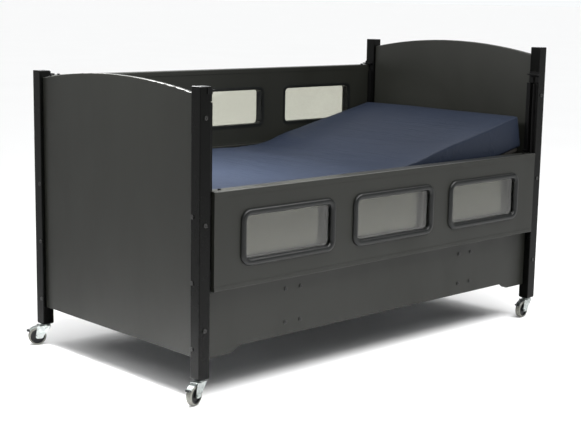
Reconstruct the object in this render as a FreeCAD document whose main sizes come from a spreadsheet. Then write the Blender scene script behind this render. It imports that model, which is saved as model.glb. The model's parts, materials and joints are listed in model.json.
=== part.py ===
import FreeCAD, Part
import os
import re
import sys

# Adjustable bed with closed end boards, two sliding window rails and a four-section deck.
# +X points to the head end, -Y is the near side, +Z is up, and the floor is z = 0.
# Shapes are drawn about the centre line between the posts. Every node is then moved
# by frame_shift, so that the origin is under the middle of the whole bed, which the
# trailing foot casters make longer at one end.

SIZES = {
    "frame_shift": 24.72, "half_length": 1023, "half_width": 540, "post": 51,
    "post_low": 89, "foot_post_top": 1157, "head_post_top": 1265, "stem_bore": 6,
    "board": 19, "board_inset": 16, "board_low": 166,
    "foot_crown": 1170, "foot_rise": 41, "head_crown": 1278, "head_rise": 48,
    "apron_out": 508, "apron_low": 156, "apron_arch": 180, "apron_top": 780,
    "arch_in": 808.75, "arch_out": 836.25,
    "rail_half": 962, "rail_in": 510, "rail_out": 550, "rail_height": 367,
    "rail_low": 414, "rail_travel": 355, "top_cap": 22, "low_cap": 18, "cap_proud": 1,
    "window_pitch": 592, "pane_width": 438, "pane_height": 162, "pane_low": 103,
    "ring": 26, "sleeve": 11, "inner_ring": 14, "ring_proud": 12, "bead": 11.5, "pane_deep": 4,
    "pane": 4, "pane_grip": 4,
    "guide_y": 524.5, "rib": 3, "rib_reach": 16.9, "track_low": 419, "track_top": 1099,
    "runner": 10, "runner_length": 60, "slot_gap": 0.1,
    "bolt_y": 518, "bolt_r": 4, "bolt_gap": 0.05, "bolt_drop": 12, "bolt_in": 893,
    "bolt_out": 971.5, "knob_x": 915, "knob_travel": 10,
    "beam_x": 527, "beam_in": 57, "beam_out": 82, "beam_low": 274, "beam_top": 324,
    "fix_x": 40, "fix_low": 229, "fix_high": 362, "shank_r": 4, "head_r": 8, "head": 3.2,
    "column": 110, "column_wall": 5, "column_low": 144, "column_top": 389,
    "ram": 90, "ram_wall": 4, "ram_low": 324,
    "frame_low": 572, "frame_top": 612, "frame_y": 455, "frame_half": 965, "bar_width": 30, "wall": 2.5,
    "deck_low": 614, "deck_top": 629, "deck_y": 470, "hinge_z": 621.5, "hinge_r": 7.5, "pin_r": 4,
    "back_x": 150, "thigh_x": -170, "thigh_length": 350, "calf_length": 450,
    "back_length": 825, "back_angle": 12.5, "leaf": 10.5,
    "soft_y": 482, "soft": 150, "soft_back": 830, "back_lean": 86.6, "thigh_lean": 33.3,
    "ram_y": 90, "pivot_drop": 115, "pivot_r": 5,
    "back_ram_x": -140, "back_ram_tilt": 7.023, "back_reach": 319.475, "back_eye": 11.2,
    "back_lever_x": 10, "back_lever_z": -80,
    "knee_ram_x": 60, "knee_ram_tilt": 3.067, "knee_reach": 280.4, "knee_eye": 7,
    "knee_lever_x": -50, "knee_lever_z": -100,
    "trail": 36, "wheel_r": 37.5, "core_r": 30.5, "tyre_y": 12, "axle_r": 4,
    "yoke_y": 17, "yoke_wall": 2.5, "pedal_x": -30, "pedal_z": 80,
}

doc = FreeCAD.newDocument("bed")
sheet = doc.addObject("Spreadsheet::Sheet", "Sizes")
for row, (word, value) in enumerate(SIZES.items(), start=1):
    sheet.set("A%d" % row, word)
    sheet.set("B%d" % row, str(value))
    sheet.setAlias("B%d" % row, word)
doc.recompute()

X_AXIS = FreeCAD.Vector(1, 0, 0)
Y_AXIS = FreeCAD.Vector(0, 1, 0)
Z_AXIS = FreeCAD.Vector(0, 0, 1)
ALONG = {
    "x": FreeCAD.Rotation(Y_AXIS, 90),
    "y": FreeCAD.Rotation(X_AXIS, -90),
    "z": FreeCAD.Rotation(),
}
nodes = []


def formula(text):
    """Point each size word of a formula at its cell in the sheet."""
    def swap(match):
        word = match.group()
        return "Sizes." + word if word in SIZES else word
    return re.sub(r"[a-z][a-z_]*", swap, str(text))


def bind(item, **formulas):
    for prop, text in formulas.items():
        item.setExpression(prop.replace("_", "."), formula(text))


def place(item, x=0, y=0, z=0):
    bind(item, Placement_Base_x=x, Placement_Base_y=y, Placement_Base_z=z)
    return item


def block(name, x, y, z):
    """Box between two formulas along each axis."""
    item = doc.addObject("Part::Box", name)
    sides = ["(%s) - (%s)" % (high, low) for low, high in (x, y, z)]
    bind(item, Length=sides[0], Width=sides[1], Height=sides[2])
    return place(item, x[0], y[0], z[0])


def rod(name, radius, along, x, y, z, length):
    """Round bar from a start point, towards + on the named axis."""
    item = doc.addObject("Part::Cylinder", name)
    item.Placement = FreeCAD.Placement(FreeCAD.Vector(), ALONG[along])
    bind(item, Radius=radius, Height=length)
    return place(item, x, y, z)


def taper(name, low, high, y, z):
    """Solid whose X extent changes from low, at the bottom, to high, at the top."""
    item = doc.addObject("Part::Wedge", name)
    bind(item, Xmin=low[0], Xmax=low[1], X2min=high[0], X2max=high[1],
         Ymin=z[0], Ymax=z[1], Zmin="-(%s)" % y[1], Zmax="-(%s)" % y[0],
         Z2min="-(%s)" % y[1], Z2max="-(%s)" % y[0])
    item.Placement.Rotation = FreeCAD.Rotation(X_AXIS, 90)
    return item


def join(kind, name, prop, items):
    item = doc.addObject(kind, name)
    setattr(item, prop, list(items))
    return item


def fuse(name, *items):
    return join("Part::MultiFuse", name, "Shapes", items)


def common(name, *items):
    return join("Part::MultiCommon", name, "Shapes", items)


def group(name, *items):
    return join("Part::Compound", name, "Links", items)


def cut(name, base, *tools):
    item = doc.addObject("Part::Cut", name)
    item.Base = base
    item.Tool = tools[0] if len(tools) == 1 else fuse(name + "_tools", *tools)
    return item


def mirror(name, base, normal):
    item = doc.addObject("Part::Mirroring", name)
    item.Source = base
    item.Normal = normal
    return item


def round_off(name, base, radius, chosen):
    """Fillet the edges of base that chosen(edge) accepts."""
    doc.recompute()
    item = doc.addObject("Part::Fillet", name)
    item.Base = base
    picked = [n for n, edge in enumerate(base.Shape.Edges, start=1) if chosen(edge)]
    item.Edges = [(n, radius, radius) for n in picked]
    return item


def runs(edge, axis):
    """True for a straight edge parallel to the axis."""
    if edge.Curve.TypeId != "Part::GeomLine":
        return False
    return abs(abs(edge.Curve.Direction.dot(axis)) - 1) < 1e-6


def node(label, items, x=0, y=0, z=0, axis=None, angle=0):
    """One exported piece, at its place in the bed."""
    item = group(label, *items)
    item.Label = label
    if axis is not None:
        item.Placement = FreeCAD.Placement(FreeCAD.Vector(), FreeCAD.Rotation(axis, angle))
    place(item, "(%s) + frame_shift" % x, y, z)
    nodes.append(item)
    return item


def rounded_box(name, x, y, z, radius):
    """Box with its four edges along Y rounded, for the window shapes."""
    return round_off(name, block(name + "_raw", x, y, z), radius, lambda e: runs(e, Y_AXIS))


# ---- Posts, end boards and side panels -------------------------------------------

BOLT_HEIGHTS = (275, 662, 1046)
PANEL_BOLT_HEIGHTS = (203, 449, 691)


def corner_post(name, side, top):
    """Near-side post: side is -1 at the foot end and +1 at the head end."""
    centre = "%d * (half_length - post / 2)" % side
    raw = block(name + "_raw", (centre + " - post / 2", centre + " + post / 2"),
                ("-half_width", "-half_width + post"), ("post_low", top))
    low = round_off(name + "_low", raw, 9, lambda e: e.CenterOfMass.z < SIZES["post_low"] + 1)
    soft = round_off(name + "_soft", low, 3, lambda e: runs(e, Z_AXIS)
                     or e.CenterOfMass.z > SIZES[top] - 1)
    tools = [rod(name + "_stem", "stem_bore", "z", centre, "-half_width + post / 2", "post_low", 40)]
    face = "%d * half_length" % side
    for height in PANEL_BOLT_HEIGHTS:
        start = face if side < 0 else face + " - 46"
        tools.append(rod(name + "_x", "shank_r", "x", start, "board / 2 - apron_out", height, 46))
    for height in BOLT_HEIGHTS:
        tools.append(rod(name + "_y", "shank_r", "y", centre, "-half_width", height, 46))
    return cut(name + "_drilled", soft, *tools)


for end, side in (("foot", -1), ("head", 1)):
    near = corner_post(end + "_post", side, end + "_post_top")
    node(end + "_post_front", [near])
    node(end + "_post_back", [mirror(end + "_post_mirror", near, Y_AXIS)])


def end_board(label, side, crown, rise):
    """Upright panel between two posts, its top edge one shallow arc."""
    outer = "half_length - board_inset"
    span = (outer + " - board", outer) if side > 0 else ("-(%s)" % outer, "board - (%s)" % outer)
    raw = block(label + "_raw", span, ("post - half_width", "half_width - post"),
                ("board_low", crown))
    radius = "((half_width - post)^2 + %s^2) / (2 * %s)" % (rise, rise)
    disc = rod(label + "_arc", radius, "x", span[0], 0, "%s - %s" % (crown, radius), "board")
    arched = common(label + "_arched", raw, disc)
    edge = round_off(label + "_edge", arched, 3,
                     lambda e: e.Curve.TypeId == "Part::GeomCircle")
    node(label, [edge])


end_board("footboard", -1, "foot_crown", "foot_rise")
end_board("headboard", 1, "head_crown", "head_rise")


def fixing_points():
    """Centres of the bolts that hold one side panel to both base beams."""
    for side in (-1, 1):
        for offset in (-1, 1):
            for height in ("fix_low", "fix_high"):
                yield "%d * beam_x + %d * fix_x" % (side, offset), height


inner_post = "half_length - post"
panel_raw = block("panel_raw", ("-(%s)" % inner_post, inner_post),
                  ("-apron_out", "board - apron_out"), ("apron_low", "apron_top"))
arch = taper("arch", ("-arch_out", "arch_out"), ("-arch_in", "arch_in"),
             ("-apron_out - 1", "board + 1 - apron_out"), ("apron_low - 1", "apron_arch"))
panel_arch = cut("panel_arch", panel_raw, arch)
panel_curve = round_off("panel_curve", panel_arch, 45, lambda e: runs(e, Y_AXIS)
                        and abs(e.CenterOfMass.x) < 850 and e.CenterOfMass.z < 200)
fix_holes = [rod("fix_hole", "shank_r", "y", x, "-apron_out - 1", z, "board + 10")
             for x, z in fixing_points()]
side_panel = cut("side_panel", panel_curve, *fix_holes)
node("side_panel_front", [side_panel])
node("side_panel_back", [mirror("side_panel_mirror", side_panel, Y_AXIS)])

# ---- Bolts -------------------------------------------------------------------------


def button_bolt(name, along, x, y, z, shank, outward):
    """Round-headed bolt with a hex socket, its head standing out of the face at x, y, z."""
    spot = {"x": x, "y": y, "z": z}
    head_at = dict(spot)
    socket_at = dict(spot)
    shank_at = dict(spot)
    if outward < 0:
        head_at[along] = "%s - head" % spot[along]
        socket_at[along] = "%s - head" % spot[along]
    else:
        shank_at[along] = "%s - %s" % (spot[along], shank)
        socket_at[along] = "%s + head - 2" % spot[along]
    head = rod(name + "_head", "head_r", along, length="head", **head_at)
    stem = rod(name + "_stem", "shank_r", along, length=shank, **shank_at)
    socket = doc.addObject("Part::Prism", name + "_socket")
    socket.Placement = FreeCAD.Placement(FreeCAD.Vector(), ALONG[along])
    bind(socket, Circumradius="head_r * 0.4", Height=2)
    place(socket, **socket_at)
    return cut(name, fuse(name + "_body", head, stem), socket)


near_bolts = []
for x, z in fixing_points():
    near_bolts.append(button_bolt("panel_bolt", "y", x, "-apron_out", z, "board + 4", -1))
for side in (-1, 1):
    for height in PANEL_BOLT_HEIGHTS:
        near_bolts.append(button_bolt("end_bolt", "x", "%d * half_length" % side,
                                      "board / 2 - apron_out", height, 45, side))
    for height in BOLT_HEIGHTS:
        near_bolts.append(button_bolt("board_bolt", "y", "%d * (half_length - post / 2)" % side,
                                      "-half_width", height, 45, -1))
near_bolt_set = group("near_bolt_set", *near_bolts)
node("frame_bolts", [near_bolt_set, mirror("far_bolt_set", near_bolt_set, Y_AXIS)])

# ---- Window rails --------------------------------------------------------------------
# A rail is drawn on the near side with its bottom edge at z = 0. The far rail is the
# same rail turned half round.

guide_side = ("-guide_y - runner / 2", "runner / 2 - guide_y")


def end_groove(name, low, high):
    return [block(name, ("rail_half - runner", "rail_half + 1"), guide_side, (low, high)),
            block(name, ("-rail_half - 1", "runner - rail_half"), guide_side, (low, high))]


def window_box(name, centre, margin, y, radius):
    return rounded_box(name, ("%s - pane_width / 2 - %s" % (centre, margin),
                              "%s + pane_width / 2 + %s" % (centre, margin)), y,
                       ("pane_low - %s" % margin, "pane_low + pane_height + %s" % margin), radius)


face_y = "cap_proud - rail_out"
back_y = "-rail_in - cap_proud"
centres = ["%d * window_pitch" % step for step in (-1, 0, 1)]

rail_board = block("rail_board", ("-rail_half", "rail_half"), (face_y, back_y),
                   ("low_cap", "rail_height - top_cap"))
apertures = [window_box("aperture", x, "sleeve", ("-rail_out - 1", "1 - rail_in"), 31)
             for x in centres]
rail_panel = cut("rail_panel", rail_board, *apertures,
                 *end_groove("panel_groove", "low_cap - 1", "rail_height"))

frames = []
panes = []
for x in centres:
    ring = window_box("ring", x, "ring", ("%s - ring_proud" % face_y, face_y), 45)
    front = -SIZES["rail_out"] + SIZES["cap_proud"] - SIZES["ring_proud"]
    soft_ring = round_off("soft_ring", ring, SIZES["bead"],
                          lambda e: abs(e.CenterOfMass.y - front) < 0.01)
    sleeve = window_box("sleeve_body", x, "sleeve", (face_y, back_y), 31)
    inner = window_box("inner_ring_body", x, "inner_ring", (back_y, "-rail_in"), 34)
    body = fuse("window_body", soft_ring, sleeve, inner)
    opening = window_box("window_opening", x, 0, ("-rail_out - 15", "9 - rail_in"), 20)
    hollow = cut("window_hollow", body, opening)
    half = SIZES["pane_width"] / 2 + 2
    centre_x = SIZES["window_pitch"] * (len(frames) - 1)
    rolled = round_off("window_rolled", hollow, SIZES["bead"],
                       lambda e: abs(e.CenterOfMass.y - front) < 0.01
                       and abs(e.CenterOfMass.x - centre_x) < half
                       and SIZES["pane_low"] - 2 < e.CenterOfMass.z
                       < SIZES["pane_low"] + SIZES["pane_height"] + 2)
    pair = [window_box("pane_body", x, "pane_grip",
                       ("%s - %s" % (far, near), "%s + pane - %s" % (far, near)), 24)
            for far, near in (("pane_deep", "rail_out"), ("-pane_deep / 2 - pane", "rail_in"))]
    frames.append(cut("window_frame", rolled, *pair))
    panes += pair

top_raw = block("top_raw", ("-rail_half", "rail_half"), ("-rail_out", "-rail_in"),
                ("rail_height - top_cap", "rail_height"))
top_soft = round_off("top_soft", top_raw, 5, lambda e: runs(e, X_AXIS)
                     and e.CenterOfMass.z > SIZES["rail_height"] - 1)
low_raw = block("low_raw", ("-rail_half", "rail_half"), ("-rail_out", "-rail_in"),
                (0, "low_cap"))
low_soft = round_off("low_soft", low_raw, 5, lambda e: runs(e, X_AXIS) and e.CenterOfMass.z < 1)
bolt_z = "rail_height - bolt_drop"
cap_tools = end_groove("cap_groove", "rail_height - top_cap - 1", "rail_height + 1")
for side in (-1, 1):
    start = "bolt_in - 14" if side > 0 else "-rail_half - 1"
    cap_tools.append(rod("bolt_bore", "bolt_r + bolt_gap", "x", start, "-bolt_y", bolt_z,
                         "rail_half + 15 - bolt_in"))
    middle = "%d * (knob_x - knob_travel / 2)" % side
    cap_tools.append(block("knob_slot", (middle + " - knob_travel / 2 - 4",
                                         middle + " + knob_travel / 2 + 4"),
                           ("-bolt_y - 3.5", "3.5 - bolt_y"), (bolt_z, "rail_height + 1")))
top_cap = cut("top_cap_body", top_soft, *cap_tools)
low_cap = cut("low_cap_body", low_soft, *end_groove("low_groove", -1, "low_cap + 1"))

runners = []
for low in ("low_cap + 2", "rail_height - top_cap - 2 - runner_length"):
    span = (low, "%s + runner_length" % low)
    shoe = block("shoe", ("rail_half - runner", "rail_half"), guide_side, span)
    way = block("way", ("%s - rib_reach - slot_gap" % inner_post, "rail_half + 1"),
                ("-guide_y - rib / 2 - slot_gap", "rib / 2 + slot_gap - guide_y"),
                ("%s - 1" % low, "%s + runner_length + 1" % low))
    runner = cut("runner_body", shoe, way)
    runners += [runner, mirror("runner_mirror", runner, X_AXIS)]

slider = rod("slider", "bolt_r", "x", "bolt_in", "-bolt_y", bolt_z, "bolt_out - bolt_in")
soft_slider = round_off("soft_slider", slider, 1.5,
                        lambda e: e.CenterOfMass.x > SIZES["bolt_out"] - 1)
knob_neck = rod("knob_neck", 3, "z", "knob_x", "-bolt_y", bolt_z, "bolt_drop + 1.5")
knob_raw = rod("knob_raw", 6, "z", "knob_x", "-bolt_y", "rail_height + 0.5", 4.5)
knob = round_off("knob", knob_raw, 1.2, lambda e: e.CenterOfMass.z > SIZES["rail_height"] + 4)
head_latch = fuse("head_latch", soft_slider, knob_neck, knob)
foot_latch = mirror("foot_latch", head_latch, X_AXIS)

RAILS = (("front", 0, "rail_low", ("head", "foot")),
         ("back", 180, "rail_low + rail_travel", ("foot", "head")))
for side, turn, height, latch_ends in RAILS:
    spot = {"z": height, "axis": Z_AXIS, "angle": turn}
    node(side + "_rail_panel", [rail_panel], **spot)
    node(side + "_rail_caps", [top_cap, low_cap], **spot)
    node(side + "_window_frames", frames, **spot)
    node(side + "_window_panes", panes, **spot)
    node(side + "_rail_runners", runners, **spot)
    node("%s_latch_%s" % (side, latch_ends[0]), [head_latch], **spot)
    node("%s_latch_%s" % (side, latch_ends[1]), [foot_latch], **spot)

# ---- Rail tracks and catches on the posts -----------------------------------------------

strip = block("strip", (inner_post + " - 2.5", inner_post), ("-guide_y - 12", "1.5 - guide_y"),
              ("track_low", "track_top"))
rib = block("rib_bar", (inner_post + " - rib_reach", inner_post),
            ("-guide_y - rib / 2", "rib / 2 - guide_y"), ("track_low", "track_top"))
rest = block("rest", (inner_post + " - 18", inner_post), ("16 - half_width", "28 - half_width"),
             ("rail_low - 8", "rail_low - 0.2"))
track = fuse("track", strip, rib)
raised_top = "rail_low + rail_travel + rail_height"
batten_x = (inner_post + " - 17", inner_post)
batten = block("batten", batten_x, ("-apron_out", "post - half_width"),
               ("apron_top + 1", raised_top + " - 33"))
hook = block("hook", (inner_post + " - 27", inner_post + " - 17"), ("-apron_out - 1", "post - half_width"),
             ("apron_top + 6", "apron_top + 14"))
plate_x = (inner_post + " - 3", inner_post)
keeper_low, keeper_high = "-bolt_y - bolt_r - 1.5", "bolt_r + 1.5 - bolt_y"
keeper_top = raised_top + " - bolt_drop + bolt_r + 1.5"
catch = [block("catch_outer", plate_x, ("-half_width", keeper_low), (raised_top + " - 32", keeper_top)),
         block("catch_inner", plate_x, (keeper_high, "49 - half_width"),
               (raised_top + " - 32", keeper_top)),
         block("catch_head", plate_x, ("-half_width", "49 - half_width"),
               (keeper_top, raised_top + " + 18")),
         block("catch_ledge", (inner_post + " - 22", inner_post + " - 3"),
               ("-half_width - 3", "49 - half_width"), (raised_top + " + 2", raised_top + " + 8")),
         block("catch_lip", (inner_post + " - 3", inner_post + " + 20"),
               ("-half_width - 3", "-half_width"), (raised_top + " - 6", raised_top + " + 14"))]


def four_corners(name, *items):
    """The items at the near head corner, and their mirror images at the other three."""
    near = group(name + "_near", *items)
    pair = group(name + "_pair", near, mirror(name + "_foot", near, X_AXIS))
    return [pair, mirror(name + "_far", pair, Y_AXIS)]


node("rail_tracks", four_corners("track_set", track, rest, batten, hook))
node("rail_catches", four_corners("catch_set", *catch))

# ---- Base beams and lifting columns --------------------------------------------------------


def hollow_bar(name, x, y, z, along, wall):
    """Rectangular tube, open at both ends."""
    spans = {"x": x, "y": y, "z": z}
    inside = {}
    for axis, (low, high) in spans.items():
        if axis == along:
            inside[axis] = ("%s - 1" % low, "%s + 1" % high)
        else:
            inside[axis] = ("%s + %s" % (low, wall), "%s - %s" % (high, wall))
    return cut(name, block(name + "_out", **spans), block(name + "_in", **inside))


plate_y = "apron_out - board"
beams = []
columns = []
rams = []
for side in (-1, 1):
    middle = "%d * beam_x" % side
    for flank in (-1, 1):
        inner, outer = "%s + %d * beam_in" % (middle, flank), "%s + %d * beam_out" % (middle, flank)
        span = (inner, outer) if flank > 0 else (outer, inner)
        beams.append(hollow_bar("beam", span, ("5 - (%s)" % plate_y, plate_y + " - 5"),
                                ("beam_low", "beam_top"), "y", "wall"))
    end_plate = block("end_plate", (middle + " - beam_out", middle + " + beam_out"),
                      ("-(%s)" % plate_y, "5 - (%s)" % plate_y), ("fix_low - 22", "fix_high + 17"))
    holes = [rod("plate_hole", "shank_r", "y", "%s + %d * fix_x" % (middle, offset),
                 "-apron_out", height, "board + 10")
             for offset in (-1, 1) for height in ("fix_low", "fix_high")]
    drilled = cut("drilled_plate", end_plate, *holes)
    beams += [drilled, mirror("far_plate", drilled, Y_AXIS)]

    half = "column / 2"
    shell = block("shell", ("%s - %s" % (middle, half), "%s + %s" % (middle, half)),
                  ("-column / 2", half), ("column_low", "column_top"))
    collar = block("collar", (middle + " - beam_out", middle + " + beam_out"), (-70, 70),
                   ("beam_top", "beam_top + 6"))
    well = block("well", ("%s - %s + column_wall" % (middle, half), "%s + %s - column_wall" % (middle, half)),
                 ("column_wall - column / 2", "column / 2 - column_wall"),
                 ("column_low + column_wall", "column_top + 1"))
    columns.append(cut("column_body", fuse("column_raw", shell, collar), well))

    tube = hollow_bar("ram_tube", ("%s - ram / 2" % middle, "%s + ram / 2" % middle),
                      ("-ram / 2", "ram / 2"), ("ram_low", "frame_low - 6"), "z", "ram_wall")
    pads = [block("pad", ("%s + %s" % (middle, low), "%s + %s" % (middle, high)), ("-30", "30"),
                  ("ram_low + 3", "ram_low + 43"))
            for low, high in (("ram / 2", "column / 2 - column_wall - 0.1"),
                              ("0.1 + column_wall - column / 2", "-ram / 2"))]
    head_plate = block("head_plate", (middle + " - 55", middle + " + 55"), (-60, 60),
                       ("frame_low - 6", "frame_low"))
    rams.append(fuse("ram_body", tube, head_plate, *pads))

node("base_beams", beams)
node("lift_columns", columns)
node("lift_rams", rams)

# ---- Lifted frame and deck sections ---------------------------------------------------------

bars = []
for side in (-1, 1):
    low, high = ("frame_y - bar_width", "frame_y") if side > 0 else ("-frame_y", "bar_width - frame_y")
    bars.append(hollow_bar("side_bar", ("-frame_half", "frame_half"), (low, high),
                           ("frame_low", "frame_top"), "x", "wall"))
CROSS_BARS = (("-frame_half", 1), ("-beam_x - bar_width", 2), ("back_ram_x - bar_width / 2", 1),
              ("knee_ram_x - bar_width / 2", 1), ("beam_x - bar_width", 2),
              ("frame_half - bar_width", 1))
for start, widths in CROSS_BARS:
    bars.append(hollow_bar("cross_bar", (start, "%s + %d * bar_width" % (start, widths)),
                           ("bar_width - frame_y", "frame_y - bar_width"),
                           ("frame_low", "frame_top"), "y", "wall"))


def clevis(name, x, top, z, y_side, reach=14):
    """Two cheeks and a cross pin, hung from top down to a pivot at x, z."""
    pieces = []
    for offset in (-1, 1):
        low = "%d * ram_y + %s" % (y_side, 31 if offset > 0 else -36)
        high = "%d * ram_y + %s" % (y_side, 36 if offset > 0 else -31)
        cheek = block(name + "_cheek", ("%s - %s" % (x, reach), "%s + %s" % (x, reach)),
                      (low, high), ("%s - %s" % (z, reach), top))
        bore = rod(name + "_bore", "pivot_r", "y", x, low, z, 5)
        pieces.append(cut(name + "_drilled", cheek, bore))
    pieces.append(rod(name + "_pin", "pivot_r", "y", x, "%d * ram_y - 36" % y_side, z, 72))
    return pieces


pivot_z = "hinge_z - pivot_drop"
hangers = [*clevis("back_hanger", "back_ram_x", "frame_low", pivot_z, 1),
           *clevis("knee_hanger", "knee_ram_x", "frame_low", pivot_z, -1)]
node("deck_frame", bars + hangers)

FIXED_KNUCKLES = (("-deck_y", "70 - deck_y"), (-60, 60), ("deck_y - 70", "deck_y"))
FREE_KNUCKLES = (("73 - deck_y", -63), (63, "deck_y - 73"))


def knuckles(name, x, z, spans, side):
    """Hinge barrels on a line, each joined to the board on the +X (side 1) or -X side."""
    made = []
    for low, high in spans:
        length = "(%s) - (%s)" % (high, low)
        made.append(rod(name, "hinge_r", "y", x, low, z, length))
        web = (x, "%s + leaf + 1" % x) if side > 0 else ("%s - leaf - 1" % x, x)
        made.append(block(name + "_web", web, (low, high), ("%s - 3.5" % z, "%s + 3.5" % z)))
    return made


def hinge_pin(name, x, z):
    return rod(name, "pin_r", "y", x, "-deck_y", z, "2 * deck_y")


def hinge_bores(name, x, z):
    return [rod(name, "pin_r + bolt_gap", "y", x, low, z, "(%s) - (%s)" % (high, low))
            for low, high in FREE_KNUCKLES]


def lever(name, x, z, y_side):
    """Drop arm under a deck section, holding the cross pin that the actuator pushes."""
    cheeks = []
    for low, high in ((11, 17), (-17, -11)):
        cheeks.append(block(name + "_arm", ("%s - 16" % x, "%s + 16" % x),
                            ("%d * ram_y + %d" % (y_side, low), "%d * ram_y + %d" % (y_side, high)),
                            ("%s - 14" % z, "-hinge_r + 0.5")))
    pin = rod(name + "_pin", "pivot_r", "y", x, "%d * ram_y - 17" % y_side, z, 34)
    return [*cheeks, pin]


seat_board = block("seat_board", ("thigh_x + leaf", "back_x - leaf"), ("-deck_y", "deck_y"),
                   ("frame_top", "deck_top"))
seat_parts = [seat_board, hinge_pin("back_pin", "back_x", "hinge_z"),
              hinge_pin("thigh_pin", "thigh_x", "hinge_z")]
seat_parts += knuckles("back_fixed", "back_x", "hinge_z", FIXED_KNUCKLES, -1)
seat_parts += knuckles("thigh_fixed", "thigh_x", "hinge_z", FIXED_KNUCKLES, 1)
node("seat_deck", [fuse("seat_body", *seat_parts)])

board_z = ("-hinge_r", "hinge_r")
deck_side = ("-deck_y", "deck_y")
back_raw = block("back_raw", ("leaf", "back_length"), deck_side, board_z)
back_board = round_off("back_board", back_raw, 40, lambda e: runs(e, Z_AXIS)
                       and e.CenterOfMass.x > 100)
back_body = cut("back_body", fuse("back_fused", back_board, *knuckles("back_free", 0, 0, FREE_KNUCKLES, 1),
                                  *lever("back_lever", "back_lever_x", "back_lever_z", 1)),
                *hinge_bores("back_bore", 0, 0))
thigh_raw = block("thigh_raw", ("leaf - thigh_length", "-leaf"), deck_side, board_z)
thigh_body = cut("thigh_body",
                 fuse("thigh_fused", thigh_raw, *knuckles("thigh_free", 0, 0, FREE_KNUCKLES, -1),
                                    *knuckles("knee_free", "-thigh_length", 0, FREE_KNUCKLES, 1),
                                    *lever("thigh_lever", "knee_lever_x", "knee_lever_z", -1)),
                 *hinge_bores("thigh_bore", 0, 0), *hinge_bores("knee_bore", "-thigh_length", 0))
calf_raw = block("calf_raw", ("-calf_length", "-leaf"), deck_side, board_z)
calf_board = round_off("calf_board", calf_raw, 40, lambda e: runs(e, Z_AXIS)
                       and e.CenterOfMass.x < -100)
calf_body = fuse("calf_body", calf_board, hinge_pin("knee_pin", 0, 0),
                 *knuckles("knee_fixed", 0, 0, FIXED_KNUCKLES, -1))

soft_z = ("hinge_r", "hinge_r + soft")
soft_side = ("-soft_y", "soft_y")
back_soft = taper("back_soft", (8, "soft_back"), ("8 + back_lean", "soft_back"), soft_side, soft_z)
seat_soft = taper("seat_soft", ("thigh_x + 6", "back_x - 8"),
                  ("thigh_x + 6 + thigh_lean", "back_x - 8 - back_lean"), soft_side,
                  ("deck_top", "deck_top + soft"))
thigh_soft = taper("thigh_soft", ("1 - thigh_length", -6), ("1 - thigh_length", "-6 - thigh_lean"),
                   soft_side, soft_z)
calf_soft = taper("calf_soft", ("-calf_length", -1), ("-calf_length", -1), soft_side, soft_z)

BACK_SPOT = {"x": "back_x", "z": "hinge_z", "axis": -Y_AXIS, "angle": SIZES["back_angle"]}
THIGH_SPOT = {"x": "thigh_x", "z": "hinge_z"}
KNEE_SPOT = {"x": "thigh_x - thigh_length", "z": "hinge_z"}
node("back_deck", [back_body], **BACK_SPOT)
node("thigh_deck", [thigh_body], **THIGH_SPOT)
node("calf_deck", [calf_body], **KNEE_SPOT)
node("mattress_back", [back_soft], **BACK_SPOT)
node("mattress_seat", [seat_soft])
node("mattress_thigh", [thigh_soft], **THIGH_SPOT)
node("mattress_calf", [calf_soft], **KNEE_SPOT)

# ---- Actuators: drawn along +X from the body's pivot ---------------------------------------------


def actuator(label, reach, eye, y_side, x, tilt_axis, tilt):
    """Screw actuator: body with its motor, and the rod with an open eye."""
    hub = rod(label + "_hub", 14, "y", 0, -30, 0, 60)
    neck = block(label + "_neck", (0, 30), (-20, 20), (-14, 14))
    case_raw = block(label + "_case", (22, "%s - 95" % reach), (-27, 27), (-27, 16))
    case = round_off(label + "_case_soft", case_raw, 6, lambda e: runs(e, X_AXIS))
    motor = rod(label + "_motor", 24, "x", 30, 0, -46, 96)
    saddle = block(label + "_saddle", (34, 110), (-16, 16), (-50, -20))
    eye_bore = rod(label + "_pivot", "pivot_r + bolt_gap", "y", 0, -31, 0, 62)
    rod_bore = rod(label + "_bore", "9 + bolt_gap", "x", 60, 0, 0, "%s - 95 - 59" % reach)
    body = cut(label + "_body_cut", fuse(label + "_body_raw", hub, neck, case, motor, saddle),
               eye_bore, rod_bore)
    stem = rod(label + "_rod_stem", 9, "x", 82, 0, 0, "%s - 82" % reach)
    eye_ring = rod(label + "_eye", "%s + 6" % eye, "y", reach, -10, 0, 20)
    eye_hole = rod(label + "_eye_hole", eye, "y", reach, -11, 0, 22)
    rod_cut = cut(label + "_rod_cut", fuse(label + "_rod_raw", stem, eye_ring), eye_hole)
    spot = {"x": x, "y": "%d * ram_y" % y_side, "z": pivot_z, "axis": tilt_axis, "angle": tilt}
    for part, shape in (("_body", body), ("_rod", rod_cut)):
        node(label + part, [shape], **spot)


actuator("back_actuator", "back_reach", "back_eye", 1, "back_ram_x", -Y_AXIS, SIZES["back_ram_tilt"])
KNEE_TURN = FreeCAD.Rotation(Y_AXIS, SIZES["knee_ram_tilt"]).multiply(FreeCAD.Rotation(Z_AXIS, 180))
actuator("knee_actuator", "knee_reach", "knee_eye", -1, "knee_ram_x", KNEE_TURN.Axis,
         FreeCAD.Units.Quantity(KNEE_TURN.Angle, "rad").getValueAs("deg").Value)

# ---- Casters: drawn about the swivel axis, the wheel trailing towards -X ----------------------

flange = rod("flange", 17, "z", 0, 0, "post_low - 5", 5)
stem = rod("stem", "stem_bore", "z", 0, 0, "post_low", 38)
king = rod("king", 5, "z", 0, 0, 73, "post_low - 78")
king_head = rod("king_head", 7.5, "z", 0, 0, 73, 4)
caster_stem = fuse("caster_stem", flange, stem, king, king_head)

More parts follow.
